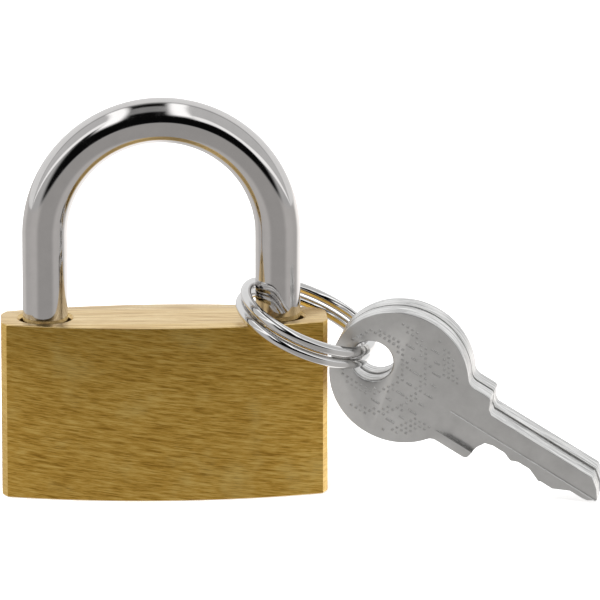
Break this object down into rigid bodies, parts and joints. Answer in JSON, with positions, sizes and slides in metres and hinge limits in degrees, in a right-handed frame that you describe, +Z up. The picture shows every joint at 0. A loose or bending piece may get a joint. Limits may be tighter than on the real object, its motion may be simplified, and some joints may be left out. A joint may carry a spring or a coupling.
{
  "type": "padlock",
  "caption": "Small brass padlock with a round steel shackle, shown with its keys on a split ring that is looped round the shackle.",
  "frame": {"origin": "centre of the body's flat underside, where the keyway is", "axes": "+X along the body's width from the toe leg of the shackle to its heel leg and on towards the keys, +Y through the body's thickness towards its back face, +Z up from the underside to the shackle"},
  "size_m": [0.0746, 0.0182, 0.0497],
  "materials": {
    "body_brass": "satin, brushed lengthwise",
    "plug_brass": "turned",
    "pin_brass": "turned",
    "plated_steel": "polished nickel plate",
    "ring_steel": "polished nickel plate",
    "latch_steel": "turned",
    "spring_steel": "drawn wire",
    "key_nickel": "satin nickel plate"
  },
  "bodies": {
    "case": {"body": "body_brass", "chamber_plug_1": "pin_brass", "chamber_plug_2": "pin_brass", "chamber_plug_3": "pin_brass", "chamber_plug_4": "pin_brass", "driver_pin_1": "pin_brass", "driver_pin_2": "pin_brass", "driver_pin_3": "pin_brass", "driver_pin_4": "pin_brass", "pin_spring_1": "spring_steel", "pin_spring_2": "spring_steel", "pin_spring_3": "spring_steel", "pin_spring_4": "spring_steel", "shackle_spring": "spring_steel", "shackle_retaining_pin": "spring_steel", "cylinder_retaining_pin": "spring_steel", "latch_spring": "spring_steel", "latch_bore_plug": "pin_brass"},
    "shackle": {"shackle": "plated_steel"},
    "cylinder": {"cylinder_plug": "plug_brass", "key_pin_1": "pin_brass", "key_pin_2": "pin_brass", "key_pin_3": "pin_brass", "key_pin_4": "pin_brass"},
    "latch": {"latch_bolt": "latch_steel"},
    "ring": {"split_ring": "ring_steel"},
    "front_key": {"key_front": "key_nickel"},
    "rear_key": {"key_rear": "key_nickel"}
  },
  "joints": [
    {"name": "shackle_lift", "type": "slide", "parent": "case", "child": "shackle", "axis": [0, 0, 1], "range_m": [0, 0.008], "deforming": ["shackle_spring"]},
    {"name": "plug_turn", "type": "hinge", "parent": "case", "child": "cylinder", "pos_m": [-0.0053, 0, 0.0002], "axis": [0, 0, 1], "range_deg": [-90, 0]},
    {"name": "latch_slide", "type": "slide", "parent": "case", "child": "latch", "axis": [-1, 0, 0], "range_m": [0, 0.0018], "deforming": ["latch_spring"]},
    {"name": "ring_tilt", "type": "hinge", "parent": "case", "child": "ring", "pos_m": [0.01, -0.0014, 0.0244], "axis": [0, -0.9863, -0.165], "range_deg": [0, 24]},
    {"name": "front_key_swing", "type": "hinge", "parent": "ring", "child": "front_key", "pos_m": [0.02575, -0.00459, 0.01758], "axis": [-0.2535, -0.9526, -0.1685], "range_deg": [0, 60]},
    {"name": "rear_key_swing", "type": "hinge", "parent": "ring", "child": "rear_key", "pos_m": [0.02637, -0.00226, 0.018], "axis": [-0.2535, -0.9526, -0.1685], "range_deg": [0, 60]}
  ],
  "couplings": [
    {"joint": "latch_slide", "follows": "plug_turn", "m_per_rad": -0.0011434}
  ]
}
